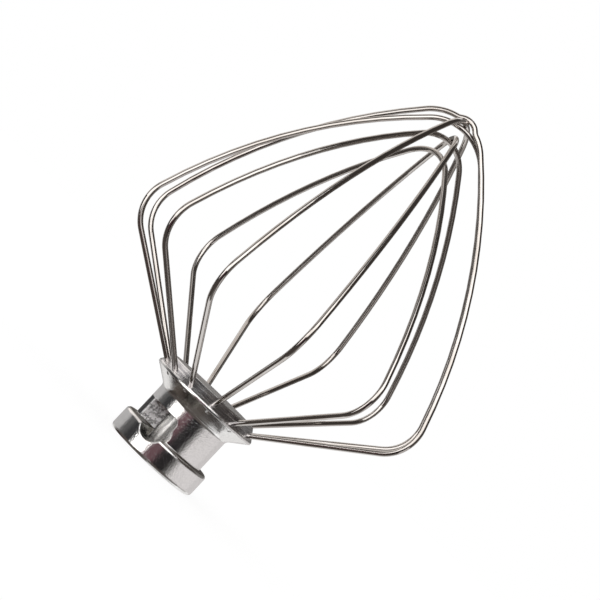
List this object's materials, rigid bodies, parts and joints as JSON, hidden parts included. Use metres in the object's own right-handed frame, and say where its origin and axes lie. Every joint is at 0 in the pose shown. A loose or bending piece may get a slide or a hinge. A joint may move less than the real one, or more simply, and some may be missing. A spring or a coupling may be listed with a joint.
{
  "type": "stand mixer wire whisk",
  "caption": "Balloon whisk for a stand mixer: a turned hub with a bayonet slot for the drive shaft carries a cage of nested, bent wire loops that beat air into a mix.",
  "frame": {"origin": "centre of the hub's flat shaft end, which the whisk stands on", "axes": "+Z along the hub's axis from the shaft end to the tip of the cage; the lock notch of the bayonet slot faces about -Y"},
  "size_m": [0.1314, 0.1318, 0.169],
  "materials": {
    "hub_metal": "polished, with a satin turned face round the wires",
    "wire_steel": "bright drawn stainless wire"
  },
  "bodies": {
    "root": {"hub": "hub_metal", "wire_loop_1": "wire_steel", "wire_loop_2": "wire_steel", "wire_loop_3": "wire_steel", "wire_loop_4": "wire_steel", "wire_loop_5": "wire_steel", "wire_loop_6": "wire_steel"}
  },
  "joints": []
}
